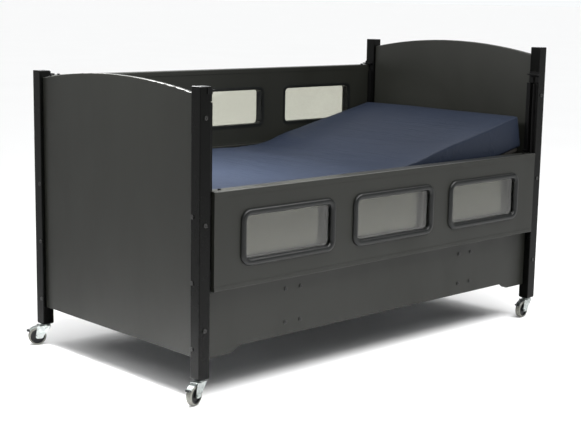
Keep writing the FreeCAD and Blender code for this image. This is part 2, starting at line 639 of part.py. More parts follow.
bridge = block("bridge", (-24, 20), ("-yoke_y", "yoke_y"), (77.5, 82))
race = rod("race", 17, "z", 0, 0, 82, "post_low - 87.2")
yoke_items = [bridge, race, rod("axle", "axle_r", "y", "-trail", "-yoke_y", "wheel_r", "2 * yoke_y")]
for low, high in (("yoke_y - yoke_wall", "yoke_y"), ("-yoke_y", "yoke_wall - yoke_y")):
    yoke_items.append(taper("leg", ("-trail - 9", "24 - trail"), (-38, 20), (low, high),
                            ("wheel_r", 77.5)))
    yoke_items.append(rod("leg_end", 9, "y", "-trail", low, "wheel_r", "yoke_wall"))
    yoke_items.append(rod("leg_toe", 9, "y", "15 - trail", low, "wheel_r", "yoke_wall"))
    yoke_items.append(block("leg_foot", ("-trail", "15 - trail"), (low, high),
                            ("wheel_r - 9", "wheel_r + 1")))
    yoke_items.append(block("ear", ("pedal_x - 5", "pedal_x + 5"), (low, high), (70, "pedal_z + 4.5")))
for start in ("yoke_y", "-yoke_y - 4"):
    yoke_items.append(rod("nut", 6.5, "y", "-trail", start, "wheel_r", 4))
yoke_items.append(rod("pedal_pin", 2, "y", "pedal_x", "-yoke_y", "pedal_z", "2 * yoke_y"))
yoke = cut("yoke", fuse("yoke_body", *yoke_items),
           rod("king_bore", "5 + bolt_gap", "z", 0, 0, 77, 14))

disc = rod("disc", "core_r", "y", 0, -10.5, 0, 21)
dish = [cut("dish", rod("dish_out", "core_r - 5", "y", 0, start, 0, 3.5),
            rod("dish_in", 11, "y", 0, start, 0, 3.5)) for start in (-10.5, 7)]
hub = rod("hub", 9, "y", 0, -14, 0, 28)
core = cut("core", fuse("core_body", cut("core_disc", disc, *dish), hub),
           rod("core_bore", "axle_r + bolt_gap", "y", 0, -15, 0, 30))
tread = rod("tread", "wheel_r", "y", 0, "-tyre_y", 0, "2 * tyre_y")
soft_tread = round_off("soft_tread", tread, 5, lambda e: e.Curve.TypeId == "Part::GeomCircle")
tyre = cut("tyre", soft_tread, rod("tyre_hole", "core_r", "y", 0, -13, 0, 26))

barrel = rod("barrel", 4, "y", 0, -14, 0, 28)
hood_x, hood_z = "-trail - pedal_x", "wheel_r - pedal_z"
hood_ring = cut("hood_ring", rod("hood_out", "wheel_r + 4.5", "y", hood_x, -11.5, hood_z, 23),
                rod("hood_in", "wheel_r + 2", "y", hood_x, -12, hood_z, 24))
hood = common("hood", hood_ring, block("hood_part", (-50, 0), (-12, 12), (-18, 5)))
lip = block("lip", (-48, -38), (-11.5, 11.5), (-18, -15.5))
shoe = common("brake_shoe", cut("shoe_ring", rod("shoe_out", "wheel_r + 3", "y", hood_x, -8, hood_z, 16),
                                rod("shoe_in", "wheel_r + 0.4", "y", hood_x, -9, hood_z, 18)),
              block("shoe_part", (-24, -12), (-9, 9), (-18, 5)))
pedal = cut("pedal", fuse("pedal_body", barrel, hood, lip, shoe),
            rod("pedal_bore", "2 + bolt_gap", "y", 0, -15, 0, 30))

CORNERS = (("foot_front", -1, -1, 16), ("foot_back", -1, 1, -22),
           ("head_front", 1, -1, 4), ("head_back", 1, 1, -8))
stems = []
for corner, end, flank, turn in CORNERS:
    x = "%d * (half_length - post / 2)" % end
    y = "%d * (half_width - post / 2)" % flank
    stems.append(place(group("stem_" + corner, caster_stem), x, y, 0))
    axle_x = "%s - trail * cos(%d)" % (x, turn)
    axle_y = "%s - trail * sin(%d)" % (y, turn)
    node("caster_yoke_" + corner, [yoke], x, y, 0, Z_AXIS, turn)
    node("caster_core_" + corner, [core], axle_x, axle_y, "wheel_r", Z_AXIS, turn)
    node("caster_tyre_" + corner, [tyre], axle_x, axle_y, "wheel_r", Z_AXIS, turn)
    node("brake_pedal_" + corner, [pedal], "%s + pedal_x * cos(%d)" % (x, turn),
         "%s + pedal_x * sin(%d)" % (y, turn), "pedal_z", Z_AXIS, turn)
node("caster_stems", stems)

# ---- Check and write ----------------------------------------------------------------------------

doc.recompute()
faults = [item.Name for item in doc.Objects if "Invalid" in item.State or "Error" in item.State]
for item in nodes:
    if item.Shape.isNull() or not item.Shape.isValid() or not item.Shape.Solids:
        faults.append(item.Label)
if faults:
    print("faulty:", faults)
    sys.exit(1)

os.makedirs("parts", exist_ok=True)
for item in nodes:
    item.Shape.exportStep("parts/%s.step" % item.Label)
print(len(nodes), "nodes written")
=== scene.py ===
"""Looks of the enclosed care bed: finishes, mattress, caster details, light and camera."""
import json
import math

import bmesh
import bpy
from mathutils import Matrix, Vector, noise


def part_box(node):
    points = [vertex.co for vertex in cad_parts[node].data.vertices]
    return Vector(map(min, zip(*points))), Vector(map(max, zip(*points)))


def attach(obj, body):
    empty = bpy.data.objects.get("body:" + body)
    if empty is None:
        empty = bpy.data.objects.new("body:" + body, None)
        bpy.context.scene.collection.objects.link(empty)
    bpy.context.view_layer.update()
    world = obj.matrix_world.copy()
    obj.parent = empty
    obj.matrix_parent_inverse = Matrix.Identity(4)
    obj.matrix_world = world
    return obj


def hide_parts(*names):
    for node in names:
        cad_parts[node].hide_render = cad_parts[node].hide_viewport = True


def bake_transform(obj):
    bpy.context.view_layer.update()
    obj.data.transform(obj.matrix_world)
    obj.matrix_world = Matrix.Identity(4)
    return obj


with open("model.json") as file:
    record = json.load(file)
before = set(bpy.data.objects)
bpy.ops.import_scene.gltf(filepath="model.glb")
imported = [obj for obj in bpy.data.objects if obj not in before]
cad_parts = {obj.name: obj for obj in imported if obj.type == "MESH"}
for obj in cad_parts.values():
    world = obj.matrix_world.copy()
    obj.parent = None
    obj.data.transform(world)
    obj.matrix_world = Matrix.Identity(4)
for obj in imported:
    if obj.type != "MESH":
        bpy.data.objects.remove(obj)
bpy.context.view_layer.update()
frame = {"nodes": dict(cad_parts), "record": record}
NODES = frame["nodes"]

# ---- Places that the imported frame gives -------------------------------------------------

JOINTS = {joint["name"]: joint for joint in frame["record"]["behaviour"]["joints"]}
BACK_HINGE = Vector(JOINTS["backrest_hinge"]["pos_m"])
THIGH_HINGE = Vector(JOINTS["thigh_hinge"]["pos_m"])
KNEE_HINGE = Vector(JOINTS["knee_hinge"]["pos_m"])
CORNERS = ("foot_front", "foot_back", "head_front", "head_back")
BACK_ANGLE = math.radians(12.5)  # lean of the backrest as the frame holds it
UP = Vector((0, 0, 1))

# ---- Material helpers -------------------------------------------------------------------

LACQUER_EDGE = 0.0015
PLASTIC_EDGE = 0.0008
METAL_EDGE = 0.0008
COAT_EDGE = 0.0012
UPWARD = (0.55, 0.95)  # normal Z from which a face starts to count as upward, and fully does


def add(tree, kind, inputs=None, **settings):
    """New shader node; inputs maps socket names to a value or to another socket."""
    item = tree.nodes.new(kind)
    for key, value in settings.items():
        setattr(item, key, value)
    for key, value in (inputs or {}).items():
        socket = item.inputs[key]
        if isinstance(value, bpy.types.NodeSocket):
            tree.links.new(value, socket)
        else:
            socket.default_value = value
    return item


def grey(value):
    """Neutral colour of one brightness."""
    return (value, value, value, 1.0)


def start_material(name):
    """New material, its tree, its surface node and its object coordinates."""
    material = bpy.data.materials.new(name)
    material.use_nodes = True
    tree = material.node_tree
    place = add(tree, "ShaderNodeTexCoord").outputs["Object"]
    return material, tree, tree.nodes["Principled BSDF"], place


def ramp(tree, factor, low, high, dark=0.0, light=1.0):
    """Linear remap of factor between low and high."""
    item = add(tree, "ShaderNodeMapRange", {"Value": factor, "From Min": low, "From Max": high,
                                            "To Min": dark, "To Max": light})
    return item.outputs["Result"]


def noise_at(tree, place, scale, detail=3.0, rough=0.5, stretch=None):
    """Noise between 0 and 1; stretch scales the coordinates first."""
    if stretch:
        place = add(tree, "ShaderNodeMapping", {"Vector": place, "Scale": stretch}).outputs["Vector"]
    item = add(tree, "ShaderNodeTexNoise", {"Vector": place, "Scale": scale, "Detail": detail,
                                            "Roughness": rough})
    return item.outputs["Fac"]


def blend_colour(tree, factor, first, second):
    """Colour between first and second; the mix node's colour sockets are 6, 7 and 2."""
    item = add(tree, "ShaderNodeMix", data_type="RGBA")
    sockets = (item.inputs[0], item.inputs[6], item.inputs[7])
    for socket, value in zip(sockets, (factor, first, second)):
        if isinstance(value, bpy.types.NodeSocket):
            tree.links.new(value, socket)
        else:
            socket.default_value = value
    return item.outputs[2]


def bump(tree, height, strength, distance, normal=None):
    """Normal tilted by a height, on top of another normal if one is given."""
    inputs = {"Height": height, "Strength": strength, "Distance": distance}
    if normal is not None:
        inputs["Normal"] = normal
    return add(tree, "ShaderNodeBump", inputs).outputs["Normal"]


def edge_mask(tree, radius, gain):
    """Near 1 on sharp edges: how far a rounded normal leans from the true one."""
    bevel = add(tree, "ShaderNodeBevel", {"Radius": radius}, samples=4).outputs["Normal"]
    facing = add(tree, "ShaderNodeNewGeometry").outputs["Normal"]
    dot = add(tree, "ShaderNodeVectorMath", operation="DOT_PRODUCT")
    tree.links.new(bevel, dot.inputs[0])
    tree.links.new(facing, dot.inputs[1])
    return ramp(tree, dot.outputs["Value"], 1.0, 1.0 - gain), bevel


def lacquer(name, dark, light, rough, edge_light, gloss):
    """Satin lacquer: orange peel, faint clouding, edges lightened by wear and a painted highlight,
    and glossier upward faces.
    """
    material, tree, bsdf, place = start_material(name)
    cloud = noise_at(tree, place, 2.3, 4.0)
    colour = blend_colour(tree, cloud, dark, light)
    # Painted highlight, partly wear: sharp edges turn towards edge_light where the scuff noise lets
    # them.
    mask, bevel = edge_mask(tree, LACQUER_EDGE, 0.5)
    scuff = noise_at(tree, place, 45.0, 5.0, 0.65)
    edge_wear_and_highlight = add(tree, "ShaderNodeMath", operation="MULTIPLY")
    tree.links.new(mask, edge_wear_and_highlight.inputs[0])
    tree.links.new(ramp(tree, scuff, 0.42, 0.68), edge_wear_and_highlight.inputs[1])
    edge_highlighted = blend_colour(tree, edge_wear_and_highlight.outputs[0], colour, edge_light)
    tree.links.new(edge_highlighted, bsdf.inputs["Base Color"])
    smear = noise_at(tree, place, 5.0, 5.0, 0.6, stretch=(1.0, 1.0, 0.35))
    tree.links.new(ramp(tree, smear, 0.3, 0.7, rough - 0.06, rough + 0.07), bsdf.inputs["Roughness"])
    peel = noise_at(tree, place, 420.0, 2.0)
    first = bump(tree, peel, 0.10, 0.0004, bevel)
    ripple = noise_at(tree, place, 14.0, 2.0, stretch=(0.4, 1.0, 1.0))
    tree.links.new(bump(tree, ripple, 0.06, 0.004, first), bsdf.inputs["Normal"])
    facing = add(tree, "ShaderNodeNewGeometry").outputs["Normal"]
    upward = add(tree, "ShaderNodeSeparateXYZ", {"Vector": facing}).outputs["Z"]
    shine = ramp(tree, upward, *UPWARD, gloss, 0.60)
    tree.links.new(shine, bsdf.inputs["Specular IOR Level"])
    tree.links.new(ramp(tree, upward, *UPWARD, 0.0, 0.65), bsdf.inputs["Coat Weight"])
    bsdf.inputs["Coat Roughness"].default_value = 0.16
    return material


def moulded(name, colour, rough, grain=900.0, depth=0.0002, gloss=0.5):
    """Moulded plastic with a fine spark-eroded grain and edges lightened as a painted highlight."""
    material, tree, bsdf, place = start_material(name)
    tone = noise_at(tree, place, 30.0, 3.0)
    lighter = tuple(min(1.0, c * 1.5 + 0.001) for c in colour[:3]) + (1.0,)
    mask, bevel = edge_mask(tree, PLASTIC_EDGE, 0.6)
    shade = blend_colour(tree, ramp(tree, tone, 0.3, 0.7), colour, lighter)
    # Painted highlight: sharp edges turn up to 0.35 of the way towards the lighter colour.
    highlit_edge_colour = blend_colour(tree, ramp(tree, mask, 0.0, 1.0, 0.0, 0.35), shade, lighter)
    tree.links.new(highlit_edge_colour, bsdf.inputs["Base Color"])
    tree.links.new(ramp(tree, tone, 0.2, 0.8, rough - 0.05, rough + 0.06), bsdf.inputs["Roughness"])
    pits = add(tree, "ShaderNodeTexVoronoi", {"Vector": place, "Scale": grain}).outputs["Distance"]
    tree.links.new(bump(tree, pits, 0.25, depth, bevel), bsdf.inputs["Normal"])
    bsdf.inputs["Specular IOR Level"].default_value = gloss
    return material


def metal(name, colour, rough, stretch, scratch=260.0):
    """Plated or brushed metal: drawn streaks, small spots and softened edges."""
    material, tree, bsdf, place = start_material(name)
    streak = noise_at(tree, place, scratch, 3.0, 0.6, stretch=stretch)
    spot = noise_at(tree, place, 60.0, 4.0, 0.7)
    darker = tuple(c * 0.62 for c in colour[:3]) + (1.0,)
    shade = blend_colour(tree, ramp(tree, spot, 0.35, 0.6), darker, colour)
    tree.links.new(shade, bsdf.inputs["Base Color"])
    bsdf.inputs["Metallic"].default_value = 1.0
    polish = ramp(tree, streak, 0.3, 0.7, rough - 0.08, rough + 0.12)
    tree.links.new(polish, bsdf.inputs["Roughness"])
    bevel = add(tree, "ShaderNodeBevel", {"Radius": METAL_EDGE}, samples=4).outputs["Normal"]
    tree.links.new(bump(tree, streak, 0.08, 0.0002, bevel), bsdf.inputs["Normal"])
    return material


def powder_coat(name, colour, rough, gloss=0.5):
    """Powder coat: orange peel, faint clouding and edges lightened as a painted highlight."""
    material, tree, bsdf, place = start_material(name)
    tone = noise_at(tree, place, 9.0, 4.0)
    lighter = tuple(c * 1.5 + 0.0004 for c in colour[:3]) + (1.0,)
    mask, bevel = edge_mask(tree, COAT_EDGE, 0.6)
    shade = blend_colour(tree, tone, colour, lighter)
    # Painted highlight: sharp edges turn up to 0.3 of the way towards this lighter grey.
    edge = grey(2.0 * colour[0] + 0.01)
    edge_highlighted = blend_colour(tree, ramp(tree, mask, 0.0, 1.0, 0.0, 0.3), shade, edge)
    bsdf.inputs["Specular IOR Level"].default_value = gloss
    tree.links.new(edge_highlighted, bsdf.inputs["Base Color"])
    tree.links.new(ramp(tree, tone, 0.2, 0.8, rough - 0.05, rough + 0.08), bsdf.inputs["Roughness"])
    orange = noise_at(tree, place, 650.0, 2.0, 0.4)
    tree.links.new(bump(tree, orange, 0.2, 0.0005, bevel), bsdf.inputs["Normal"])
    return material


def plywood(name):
    """Dark film-faced birch ply: faint cathedral grain, fine pores and layered edges."""
    material, tree, bsdf, place = start_material(name)
    drawn = add(tree, "ShaderNodeMapping", {"Vector": place, "Scale": (0.35, 6.0, 6.0)}).outputs[0]
    figure = {"Vector": drawn, "Scale": 1.6, "Distortion": 5.5, "Detail": 3.0, "Detail Scale": 1.2}
    grain = add(tree, "ShaderNodeTexWave", figure, bands_direction="Y").outputs["Fac"]
    pores = noise_at(tree, place, 300.0, 3.0, 0.7, stretch=(0.06, 1.0, 1.0))
    base = blend_colour(tree, grain, (0.013, 0.012, 0.010, 1.0), (0.023, 0.021, 0.018, 1.0))
    pitted = ramp(tree, pores, 0.5, 0.75, 0.0, 0.5)
    shade = blend_colour(tree, pitted, base, (0.010, 0.008, 0.006, 1.0))
    layers = add(tree, "ShaderNodeTexWave", {"Vector": place, "Scale": 165.0, "Distortion": 0.4},
                 bands_direction="Z").outputs["Fac"]
    normal = add(tree, "ShaderNodeNewGeometry").outputs["Normal"]
    split = add(tree, "ShaderNodeSeparateXYZ", {"Vector": normal}).outputs["Z"]
    flat = add(tree, "ShaderNodeMath", operation="ABSOLUTE")
    tree.links.new(split, flat.inputs[0])
    edge = blend_colour(tree, layers, (0.010, 0.009, 0.008, 1.0), (0.020, 0.018, 0.015, 1.0))
    final = blend_colour(tree, ramp(tree, flat.outputs[0], 0.3, 0.6), edge, shade)
    tree.links.new(final, bsdf.inputs["Base Color"])
    bsdf.inputs["Roughness"].default_value = 0.42
    tree.links.new(bump(tree, pores, 0.2, 0.0004), bsdf.inputs["Normal"])
    return material


def clear_pane(name):
    """Clear acrylic sheet with a faint, slightly uneven warm grey tint."""
    material, tree, bsdf, place = start_material(name)
    haze = noise_at(tree, place, 7.0, 4.0, 0.6)
    tint = blend_colour(tree, haze, (0.76, 0.76, 0.70, 1.0), (0.81, 0.81, 0.75, 1.0))
    tree.links.new(tint, bsdf.inputs["Base Color"])
    bsdf.inputs["Transmission Weight"].default_value = 1.0
    bsdf.inputs["IOR"].default_value = 1.41
    bsdf.inputs["Roughness"].default_value = 0.03
    return material


def coated_cover(name):
    """Navy polyurethane-coated knit: fine rib, soft sheen, slight shade changes and creases."""
    material, tree, bsdf, place = start_material(name)
    cloud = noise_at(tree, place, 3.2, 4.0)
    navy = ((0.0070, 0.0102, 0.0185, 1.0), (0.0104, 0.0148, 0.0262, 1.0))
    colour = blend_colour(tree, cloud, *navy)
    tree.links.new(colour, bsdf.inputs["Base Color"])
    tree.links.new(ramp(tree, cloud, 0.25, 0.75, 0.46, 0.58), bsdf.inputs["Roughness"])
    bsdf.inputs["Specular IOR Level"].default_value = 0.10
    bsdf.inputs["Sheen Weight"].default_value = 0.02
    bsdf.inputs["Sheen Roughness"].default_value = 0.5
    bsdf.inputs["Sheen Tint"].default_value = (0.55, 0.62, 0.80, 1.0)
    bsdf.inputs["Coat Weight"].default_value = 0.07
    bsdf.inputs["Coat Roughness"].default_value = 0.33
    thread = {"Vector": place, "Scale": 330.0, "Distortion": 1.5, "Detail": 1.0}
    knit = add(tree, "ShaderNodeTexWave", thread, bands_direction="Y").outputs["Fac"]
    cross = add(tree, "ShaderNodeTexWave", thread, bands_direction="X").outputs["Fac"]
    fine = bump(tree, knit, 0.10, 0.0003)
    fine = bump(tree, cross, 0.10, 0.0003, fine)
    pucker = noise_at(tree, place, 26.0, 3.0, 0.55, stretch=(1.0, 0.35, 1.0))
    fine = bump(tree, pucker, 0.10, 0.003, fine)
    long_wave = noise_at(tree, place, 6.0, 4.0, 0.55, stretch=(1.0, 0.16, 1.0))
    middle = add(tree, "ShaderNodeMath", operation="SUBTRACT")
    tree.links.new(long_wave, middle.inputs[0])
    middle.inputs[1].default_value = 0.5
    away = add(tree, "ShaderNodeMath", operation="ABSOLUTE")
    tree.links.new(middle.outputs[0], away.inputs[0])
    crest = ramp(tree, away.outputs[0], 0.0, 0.05, 1.0, 0.0)
    tree.links.new(bump(tree, crest, 0.25, 0.005, fine), bsdf.inputs["Normal"])
    return material


def tread_rubber(name):
    """Light grey rubber with patchy dust."""
    material, tree, bsdf, place = start_material(name)
    dust = noise_at(tree, place, 90.0, 5.0, 0.7)
    greys = ((0.115, 0.115, 0.100, 1.0), (0.19, 0.19, 0.165, 1.0))
    dusty = blend_colour(tree, ramp(tree, dust, 0.35, 0.7), *greys)
    tree.links.new(dusty, bsdf.inputs["Base Color"])
    tree.links.new(ramp(tree, dust, 0.2, 0.8, 0.5, 0.75), bsdf.inputs["Roughness"])
    grit = noise_at(tree, place, 700.0, 2.0)
    tree.links.new(bump(tree, grit, 0.3, 0.0005), bsdf.inputs["Normal"])
    return material


# The fourth colour of each lacquer is its painted edge highlight, partly edge wear.
BLACK = lacquer("black_lacquer", (0.0086, 0.0090, 0.0070, 1.0), (0.0114, 0.0119, 0.0094, 1.0),
                0.46, (0.045, 0.045, 0.042, 1.0), 0.26)
POST_BLACK = lacquer("post_lacquer", (0.0009, 0.0010, 0.0009, 1.0), (0.0015, 0.0016, 0.0013, 1.0),
                     0.27, (0.020, 0.020, 0.019, 1.0), 0.09)
TRIM = moulded("trim_plastic", (0.0035, 0.0040, 0.0038, 1.0), 0.34, gloss=0.24)
PANE = clear_pane("acrylic")
BLACK_METAL = powder_coat("black_coat", (0.0012, 0.0012, 0.0012, 1.0), 0.48, 0.10)
BOLT_BLACK = powder_coat("bolt_coat", (0.0075, 0.0075, 0.0070, 1.0), 0.42, 0.35)
STEEL = powder_coat("grey_coat", (0.19, 0.20, 0.21, 1.0), 0.45)
PLY = plywood("sealed_ply")
ALLOY = metal("anodised_alloy", (0.62, 0.63, 0.65, 1.0), 0.34, (1.0, 1.0, 0.03))
COVER = coated_cover("navy_cover")
CASE = moulded("case_plastic", (0.02, 0.02, 0.022, 1.0), 0.5, 500.0, 0.0004)
ROD = metal("drawn_rod", (0.66, 0.66, 0.66, 1.0), 0.25, (0.05, 1.0, 1.0))
ZINC = metal("bright_zinc", (0.42, 0.45, 0.44, 1.0), 0.30, (1.0, 0.4, 1.0), 180.0)
CORE = moulded("nylon_core", (0.0030, 0.0036, 0.0040, 1.0), 0.40, gloss=0.22)
TREAD = tread_rubber("grey_tread")
SHOE = moulded("acetal_shoe", (0.03, 0.03, 0.03, 1.0), 0.35)

FINISHES = {
    "black_board": BLACK, "window_trim": TRIM, "clear_pane": PANE, "black_metal": BLACK_METAL,
    "frame_steel": STEEL, "deck_board": PLY, "column_alloy": ALLOY, "mattress_cover": COVER,
    "actuator_case": CASE, "actuator_rod": ROD, "zinc_steel": ZINC, "wheel_core": CORE,
    "tyre": TREAD, "guide_shoe": SHOE,
}
SPECIAL = {name: POST_BLACK for name in NODES if "_post_" in name}
SPECIAL["frame_bolts"] = BOLT_BLACK
for part in frame["record"]["subparts"]:
    shown = NODES[part["node"]]
    shown.data.materials.clear()
    finish = SPECIAL.get(part["node"], FINISHES[part["material_slot"]])
    shown.data.materials.append(finish)

# ---- Mesh helpers -----------------------------------------------------------------------

SHARP_ANGLE = math.radians(35)


def object_from(name, mesh_builder, material):
    """New object from a bmesh, smooth shaded, with its finish."""
    mesh = bpy.data.meshes.new(name)
    mesh_builder.to_mesh(mesh)
    mesh_builder.free()
    item = bpy.data.objects.new(name, mesh)
    bpy.context.scene.collection.objects.link(item)
    mesh.materials.append(material)
    for face in mesh.polygons:
        face.use_smooth = True
    return item


def lathe(name, profile, centre, axis, material, steps=40):
    """Closed ring: profile is (radius, along-axis) pairs turned about the axis."""
    build = bmesh.new()
    axis = Vector(axis)
    side = axis.orthogonal().normalized()
    other = axis.cross(side)
    rings = []
    for radius, along in profile:
        ring = []
        for step in range(steps):
            turn = 2 * math.pi * step / steps
            spot = Vector(centre) + axis * along
            spot += radius * (side * math.cos(turn) + other * math.sin(turn))
            ring.append(build.verts.new(spot))
        rings.append(ring)
    count = len(rings)
    for index in range(count):
        here, there = rings[index], rings[(index + 1) % count]
        for step in range(steps):
            ahead = (step + 1) % steps
            build.faces.new((here[step], here[ahead], there[ahead], there[step]))
    bmesh.ops.recalc_face_normals(build, faces=build.faces)
    item = object_from(name, build, material)
    item.data.set_sharp_from_angle(angle=SHARP_ANGLE)
    return item


def prism(name, outline, low, high, frame_axes, material, slot, bevel=0.0008):
    """Outline extruded between low and high; frame_axes is (origin, u, v, w)."""
    origin, u_axis, v_axis, w_axis = frame_axes
    build = bmesh.new()
    rings = []
    for level in (low, high):
        rings.append([build.verts.new(origin + u_axis * u + v_axis * v + w_axis * level)
                      for u, v in outline])
    build.faces.new(rings[0])
    build.faces.new(rings[1])
    for index in range(len(outline)):
        ahead = (index + 1) % len(outline)
        build.faces.new((rings[0][index], rings[0][ahead], rings[1][ahead], rings[1][index]))
    bmesh.ops.recalc_face_normals(build, faces=build.faces)
    item = object_from(name, build, material)
    rounding = item.modifiers.new("rounding", "BEVEL")
    rounding.width = bevel
    rounding.segments = 3
    rounding.limit_method = "ANGLE"
    item.data.set_sharp_from_angle(angle=SHARP_ANGLE)
    return item


# ---- Mattress: one pad, swollen a little, creased, then cut for the hinges ----------------

SOFT_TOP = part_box("mattress_seat")[1].z
DECK_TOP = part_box("mattress_seat")[0].z
FOOT_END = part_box("mattress_calf")[0].x
HALF_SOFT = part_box("mattress_seat")[1].y
SOFT = SOFT_TOP - DECK_TOP
BACK_LENGTH = 0.830  # from the back hinge to the head end
INSET = 0.003
BEND = 0.27  # half the length of the soft bend over the back hinge
PAD_STEP = 0.017
SIDE_STEP = 0.022
PAD_RIM = 0.012
RIM_MARKS = (0.0, 0.003, 0.007, PAD_RIM)
SWELL_FRAMES = 12
SWELL_PRESSURE = 4.0
MAX_SHIFT = 0.006
CREASE_HEIGHT = 0.0048
CREASE_REACH = 0.30
WAVE_HEIGHT = 0.0035


def pad_line(along, height):
    """Point of the pad at a distance along the deck from the back hinge, and a height over it."""
    if along <= -BEND:
        return Vector((BACK_HINGE.x + along, 0, DECK_TOP + height))
    rise = Vector((math.cos(BACK_ANGLE), 0, math.sin(BACK_ANGLE)))
    lift = Vector((-math.sin(BACK_ANGLE), 0, math.cos(BACK_ANGLE)))
    hinge = Vector((BACK_HINGE.x, 0, BACK_HINGE.z))
    tip = DECK_TOP - BACK_HINGE.z
    if along >= BEND:
        return hinge + rise * along + lift * (tip + height)
    share = (along + BEND) / (2 * BEND)
    angle = BACK_ANGLE * share
    start = hinge + Vector((-BEND, 0, tip))
    end = hinge + rise * BEND + lift * tip
    flat = start + Vector((share * 2 * BEND, 0, 0))
    steep = end - rise * (1 - share) * 2 * BEND
    blend = share * share * (3 - 2 * share)
    base = flat.lerp(steep, blend)
    normal = Vector((-math.sin(angle), 0, math.cos(angle)))
    return base + normal * height


def stations(length, step):
    """Distances along a side, close together near both ends and even between them."""
    count = max(1, round((length - 2 * PAD_RIM) / step))
    even = [PAD_RIM + (length - 2 * PAD_RIM) * k / count for k in range(1, count)]
    return [*RIM_MARKS, *even, *(length - mark for mark in reversed(RIM_MARKS))]


def rounded(spot, size, radius):
    """Point of a box's surface moved onto the same box with round edges."""
    inner = Vector(min(max(c, radius), s - radius) for c, s in zip(spot, size))
    away = Vector(spot) - inner
    return inner + away.normalized() * radius


def pad_mesh():
    """Closed quad grid of the pad, slightly small, with rounded rims."""
    foot = FOOT_END + INSET - BACK_HINGE.x
    size = (BACK_LENGTH - INSET - foot, 2 * (HALF_SOFT - INSET), SOFT - INSET)
    steps = (stations(size[0], PAD_STEP), stations(size[1], PAD_STEP), stations(size[2], SIDE_STEP))
    last = [len(marks) - 1 for marks in steps]
    build = bmesh.new()
    made = {}

    def corner(cell):
        if cell not in made:
            spot = rounded([steps[k][cell[k]] for k in range(3)], size, PAD_RIM)
            place = pad_line(foot + spot.x, spot.z + INSET / 2)
            made[cell] = build.verts.new((place.x, spot.y - size[1] / 2, place.z))
        return made[cell]

    for axis in range(3):
        one, two = [k for k in range(3) if k != axis]
        for end in (0, last[axis]):
            for i in range(last[one]):
                for j in range(last[two]):
                    quad = []
                    for di, dj in ((0, 0), (1, 0), (1, 1), (0, 1)):
                        cell = [0, 0, 0]
                        cell[axis], cell[one], cell[two] = end, i + di, j + dj
                        quad.append(corner(tuple(cell)))
                    build.faces.new(quad)
    bmesh.ops.recalc_face_normals(build, faces=build.faces)
    return build


def settle(item, frames, pressure, limit):
    """Swell the item and keep the result.

    The cloth simulation gives each point its direction. It travels far past limit at every
    point of the pad, so limit, and not the cloth, sets how far the points move.
    """
    before = [v.co.copy() for v in item.data.vertices]
    cloth = item.modifiers.new("cloth", "CLOTH")
    cloth.settings.quality = 3
    cloth.settings.mass = 0.4
    cloth.settings.tension_stiffness = 18
    cloth.settings.compression_stiffness = 12
    cloth.settings.shear_stiffness = 8
    cloth.settings.bending_stiffness = 1.2
    cloth.settings.use_pressure = True
    cloth.settings.uniform_pressure_force = pressure
    cloth.settings.effector_weights.gravity = 0
    cloth.point_cache.frame_start = 1
    cloth.point_cache.frame_end = frames
    scene = bpy.context.scene
    for step in range(1, frames + 1):
        scene.frame_set(step)
    evaluated = item.evaluated_get(bpy.context.evaluated_depsgraph_get())
    after = [v.co.copy() for v in evaluated.data.vertices]
    item.modifiers.remove(cloth)
    for vertex, old, new in zip(item.data.vertices, before, after):
        move = new - old
        if move.length > limit:
            move *= limit / move.length
        vertex.co = old + move
    scene.frame_set(1)


def crease(spot):
    """Height of the faint long creases of the cover, strongest near the bend."""
    near_bend = math.exp(-((spot.x - BACK_HINGE.x + 0.05) / CREASE_REACH) ** 2)
    drift = noise.noise(Vector((spot.x * 1.7, spot.y * 0.9, 3.1)))
    wave = noise.noise(Vector((spot.x * 9.0 + drift * 2.2, spot.y * 0.9 + 7.0, 0.0)))
    ridge = max(0.0, 1 - abs(wave) * 5.0) ** 2
    broad = noise.noise(Vector((spot.x * 2.4, spot.y * 2.0, 11.0)))
    return CREASE_HEIGHT * ridge * (0.10 + 0.90 * near_bend) + WAVE_HEIGHT * broad


def build_mattress():
    """Three pieces of one pad, by name."""
    pad = object_from("mattress_pad", pad_mesh(), COVER)
    settle(pad, SWELL_FRAMES, SWELL_PRESSURE, MAX_SHIFT)
    pad.data.update()
    for vertex in pad.data.vertices:
        if vertex.normal.z > 0.5:
            vertex.co += vertex.normal * crease(vertex.co)
    smooth = pad.modifiers.new("smooth", "SUBSURF")
    smooth.levels = 1
    smooth.render_levels = 1
    bpy.context.view_layer.objects.active = pad
    bpy.ops.object.modifier_apply(modifier="smooth")
    foot_cut = (THIGH_HINGE.x + KNEE_HINGE.x) / 2
    head_cut = (THIGH_HINGE.x + BACK_HINGE.x) / 2
    spans = (("mattress_foot_third", None, foot_cut), ("mattress_middle_third", foot_cut, head_cut),
             ("mattress_head_third", head_cut, None))
    pieces = {}
    for name, low, high in spans:
        build = bmesh.new()
        build.from_mesh(pad.data)
        for limit, side in ((low, -1), (high, 1)):
            if limit is None:
                continue
            everything = build.verts[:] + build.edges[:] + build.faces[:]
            cut = bmesh.ops.bisect_plane(build, geom=everything, plane_co=(limit, 0, 0),
                                         plane_no=(side, 0, 0), clear_outer=True)
            rim = [g for g in cut["geom_cut"] if isinstance(g, bmesh.types.BMEdge)]
            for edge in rim:
                edge.smooth = False
            bmesh.ops.edgeloop_fill(build, edges=rim)
        pieces[name] = object_from(name, build, COVER)
    bpy.data.objects.remove(pad)
    return pieces


mattress = build_mattress()
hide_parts("mattress_back", "mattress_seat")
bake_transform(mattress["mattress_head_third"])
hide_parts("mattress_thigh")
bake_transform(mattress["mattress_middle_third"])
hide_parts("mattress_calf")
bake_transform(mattress["mattress_foot_third"])

# ---- Caster details ----------------------------------------------------------------------
# Profiles are (radius, distance along the axis) pairs.

